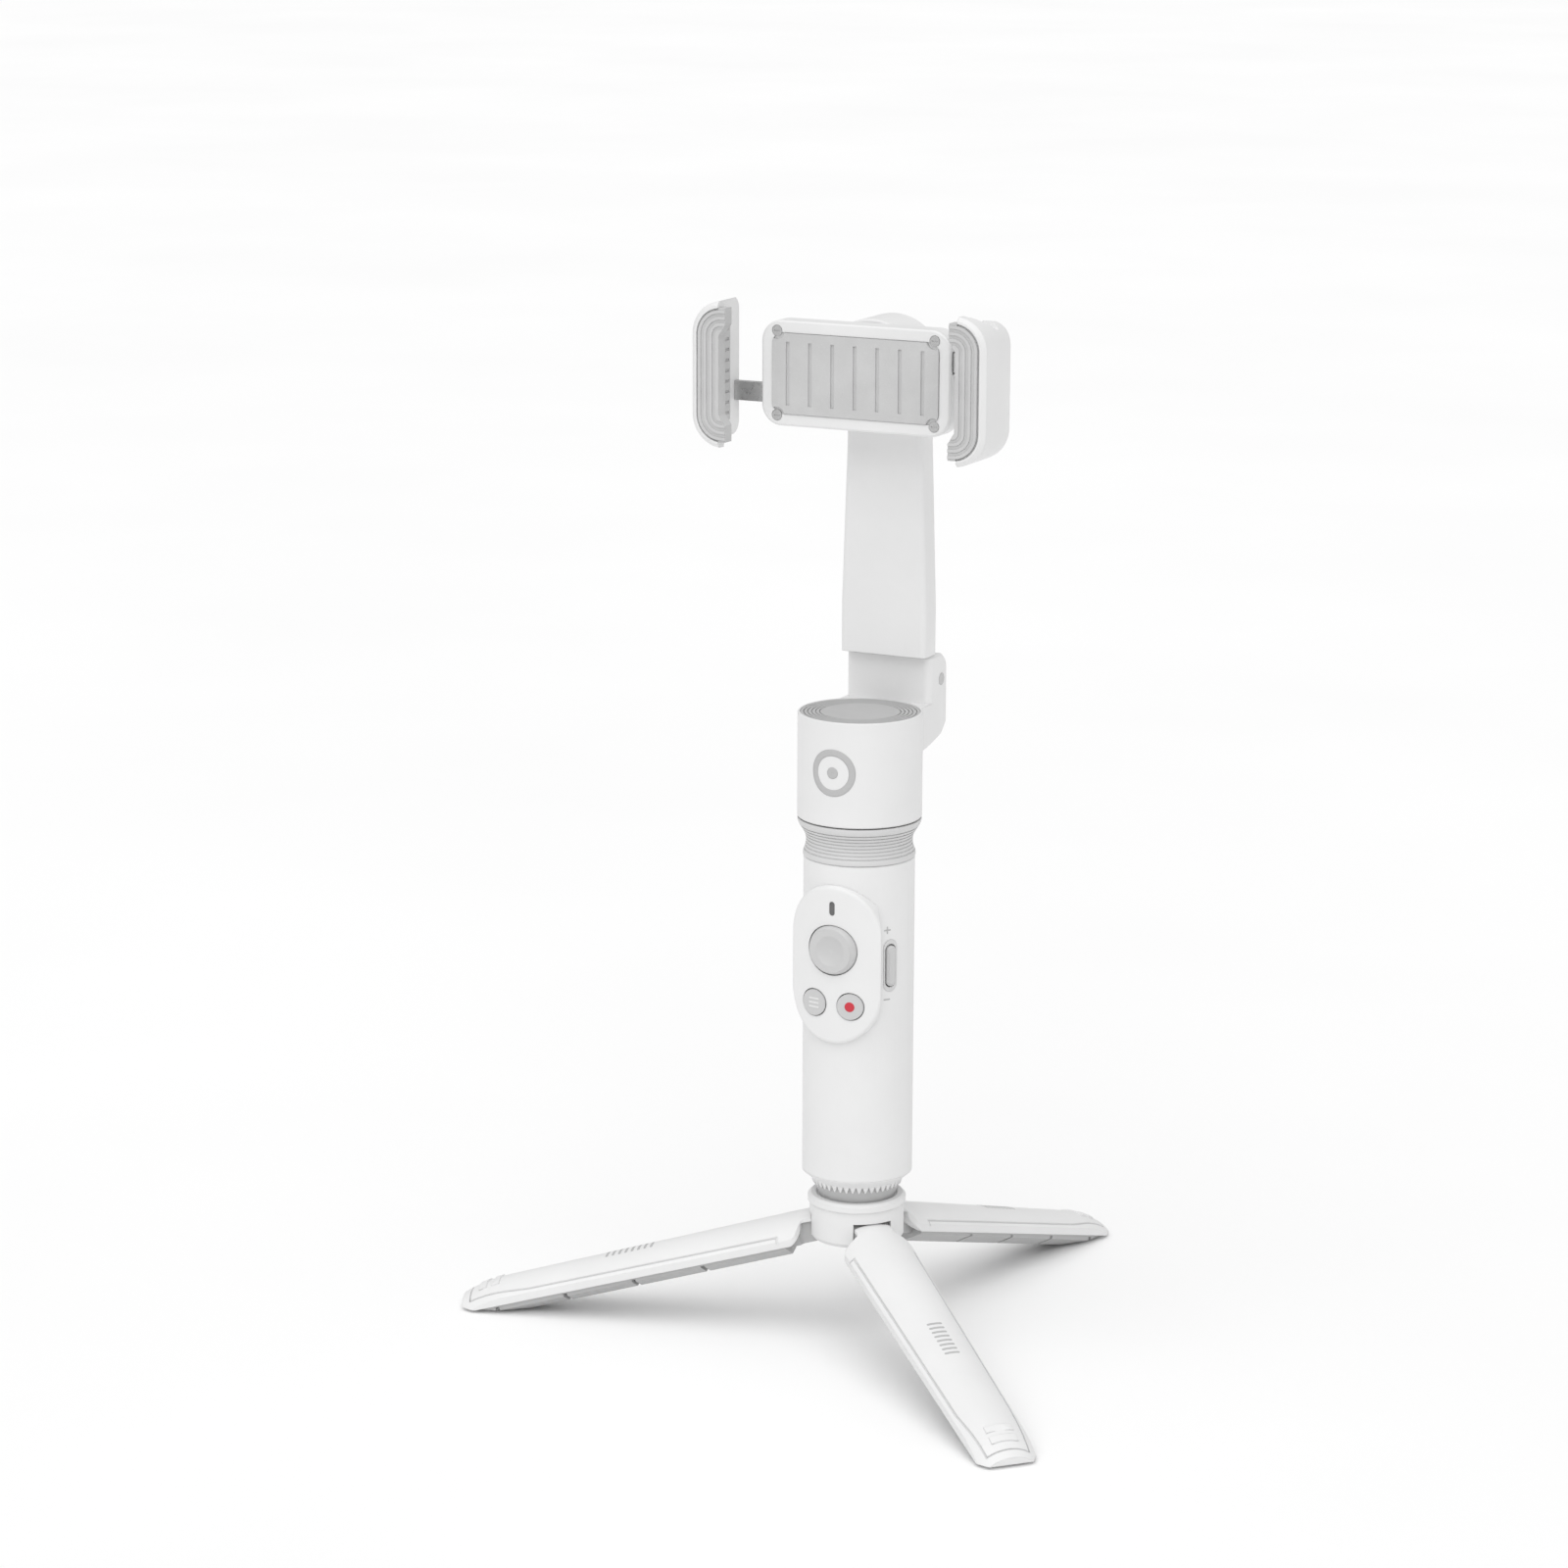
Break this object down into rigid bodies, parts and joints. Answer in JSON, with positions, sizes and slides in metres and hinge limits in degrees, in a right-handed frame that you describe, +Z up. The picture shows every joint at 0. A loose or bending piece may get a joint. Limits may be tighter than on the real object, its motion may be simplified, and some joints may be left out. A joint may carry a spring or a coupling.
{
  "type": "phone gimbal stabilizer",
  "caption": "Handheld two-axis phone gimbal with spring jaws, folding arm, telescopic pole in the handle, thumb controls and a folding mini tripod.",
  "frame": {"origin": "point on the floor under the handle's axis, where the opened tripod stands", "axes": "+Z up along the handle; -Y is the side with the control panel and the phone's screen; +X the operator's right"},
  "size_m": [0.2054, 0.202, 0.3036],
  "materials": {
    "white_shell": "satin white moulded plastic, fine grain",
    "light_grey_plastic": "matte light grey moulded plastic",
    "mid_grey_plastic": "matte mid grey moulded plastic",
    "key_grey": "satin grey key plastic",
    "grey_rubber": "soft grey rubber",
    "smoked_window": "smoked glossy light window",
    "bright_steel": "machined steel",
    "drawn_tube": "drawn aluminium tube",
    "brass_insert": "turned brass",
    "motor_iron": "lacquered motor iron",
    "circuit_board": "solder mask",
    "battery_wrap": "shrink wrap",
    "port_metal": "plated shell",
    "dark_plastic": "dark moulded plastic"
  },
  "bodies": {
    "base": {"tripod_hub": "white_shell", "tripod_screw": "bright_steel", "leg_hinge_pins": "bright_steel", "base_collar": "mid_grey_plastic", "handle_end_cap": "white_shell", "thread_insert": "brass_insert", "handle_shell": "white_shell", "control_panel": "white_shell", "led_window": "smoked_window", "main_board": "circuit_board", "battery_cell": "battery_wrap", "charging_port": "port_metal", "joystick_base": "dark_plastic", "rocker_bezel": "light_grey_plastic", "pole_guide": "dark_plastic"},
    "leg_1": {"leg_cover_1": "white_shell", "leg_frame_1": "mid_grey_plastic", "leg_foot_1": "grey_rubber"},
    "leg_2": {"leg_cover_2": "white_shell", "leg_frame_2": "mid_grey_plastic", "leg_foot_2": "grey_rubber"},
    "leg_3": {"leg_cover_3": "white_shell", "leg_frame_3": "mid_grey_plastic", "leg_foot_3": "grey_rubber"},
    "pole_1": {"pole_stage_1": "drawn_tube"},
    "pole_2": {"pole_stage_2": "drawn_tube"},
    "pole_3": {"pole_stage_3": "drawn_tube"},
    "neck": {"pole_stage_4": "drawn_tube", "neck_collar": "light_grey_plastic", "pan_stator": "motor_iron", "pan_bearings": "bright_steel"},
    "head": {"head_housing": "white_shell", "head_cap": "mid_grey_plastic", "head_board": "circuit_board", "pan_rotor": "motor_iron", "arm_bracket": "white_shell", "arm_hinge_pin": "bright_steel"},
    "arm": {"upper_arm": "white_shell", "upper_arm_cover": "mid_grey_plastic", "roll_stator": "motor_iron", "roll_bearings": "bright_steel"},
    "clamp": {"clamp_body": "white_shell", "clamp_cover": "white_shell", "clamp_pad": "grey_rubber", "clamp_screws": "bright_steel", "closing_spring": "bright_steel", "roll_rotor": "motor_iron"},
    "pinion": {"jaw_pinion": "dark_plastic"},
    "right_jaw": {"right_jaw": "white_shell", "right_grip": "grey_rubber", "right_slide": "bright_steel"},
    "left_jaw": {"left_jaw": "white_shell", "left_grip": "grey_rubber", "left_slide": "bright_steel"},
    "joystick_tilt": {"joystick_ring": "dark_plastic"},
    "joystick": {"joystick_cap": "key_grey"},
    "mode_button": {"mode_button": "key_grey"},
    "record_button": {"record_button": "key_grey"},
    "zoom_rocker": {"zoom_rocker": "key_grey"},
    "port_flap": {"port_flap": "grey_rubber"}
  },
  "joints": [
    {"name": "leg_1_fold", "type": "hinge", "parent": "base", "child": "leg_1", "pos_m": [0.00194, 0.00827, 0.0319], "axis": [-0.9736, 0.2284, 0], "range_deg": [0, 74.5]},
    {"name": "leg_2_fold", "type": "hinge", "parent": "base", "child": "leg_2", "pos_m": [-0.00814, -0.00246, 0.0319], "axis": [0.289, -0.9573, 0], "range_deg": [0, 74.5]},
    {"name": "leg_3_fold", "type": "hinge", "parent": "base", "child": "leg_3", "pos_m": [0.0062, -0.00582, 0.0319], "axis": [0.6845, 0.729, 0], "range_deg": [0, 74.5]},
    {"name": "pole_1_slide", "type": "slide", "parent": "base", "child": "pole_1", "axis": [0, 0, 1], "range_m": [0, 0.065]},
    {"name": "pole_2_slide", "type": "slide", "parent": "pole_1", "child": "pole_2", "axis": [0, 0, 1], "range_m": [0, 0.065]},
    {"name": "pole_3_slide", "type": "slide", "parent": "pole_2", "child": "pole_3", "axis": [0, 0, 1], "range_m": [0, 0.065]},
    {"name": "pole_4_slide", "type": "slide", "parent": "pole_3", "child": "neck", "axis": [0, 0, 1], "range_m": [0, 0.065]},
    {"name": "pan", "type": "hinge", "parent": "neck", "child": "head", "pos_m": [0, 0, 0.1559], "axis": [0, 0, 1], "range_deg": [-130, 130]},
    {"name": "arm_fold", "type": "hinge", "parent": "head", "child": "arm", "pos_m": [0, 0.026, 0.1923], "axis": [-1, 0, 0], "range_deg": [0, 180]},
    {"name": "roll", "type": "hinge", "parent": "arm", "child": "clamp", "pos_m": [0, 0.0052, 0.2828], "axis": [0, 1, 0], "range_deg": [-100, 100]},
    {"name": "right_jaw_slide", "type": "slide", "parent": "clamp", "child": "right_jaw", "axis": [1, 0, 0], "range_m": [-0.009, 0.005]},
    {"name": "left_jaw_slide", "type": "slide", "parent": "clamp", "child": "left_jaw", "axis": [-1, 0, 0], "range_m": [-0.009, 0.005]},
    {"name": "pinion_spin", "type": "hinge", "parent": "clamp", "child": "pinion", "pos_m": [0, -0.0023, 0.2828], "axis": [0, 1, 0], "range_deg": [-130, 75]},
    {"name": "joystick_x", "type": "hinge", "parent": "base", "child": "joystick_tilt", "pos_m": [0, -0.0148, 0.1197], "axis": [1, 0, 0], "range_deg": [-12, 12], "stiffness_Nm_per_rad": 0.05},
    {"name": "joystick_z", "type": "hinge", "parent": "joystick_tilt", "child": "joystick", "pos_m": [0, -0.0148, 0.1197], "axis": [0, 0, 1], "range_deg": [-12, 12], "stiffness_Nm_per_rad": 0.05},
    {"name": "mode_press", "type": "slide", "parent": "base", "child": "mode_button", "axis": [0, 1, 0], "range_m": [0, 0.0005], "stiffness_N_per_m": 800},
    {"name": "record_press", "type": "slide", "parent": "base", "child": "record_button", "axis": [0, 1, 0], "range_m": [0, 0.0005], "stiffness_N_per_m": 800},
    {"name": "zoom_tilt", "type": "hinge", "parent": "base", "child": "zoom_rocker", "pos_m": [0.01241, -0.00711, 0.1146], "axis": [0.497, 0.8678, 0], "range_deg": [-5, 5], "stiffness_Nm_per_rad": 0.05},
    {"name": "port_flap_hinge", "type": "hinge", "parent": "base", "child": "port_flap", "pos_m": [0, 0.0161, 0.0586], "axis": [1, 0, 0], "range_deg": [0, 100]}
  ],
  "couplings": [
    {"joint": "left_jaw_slide", "follows": "right_jaw_slide", "ratio": 1},
    {"joint": "pinion_spin", "follows": "right_jaw_slide", "rad_per_m": 250}
  ]
}
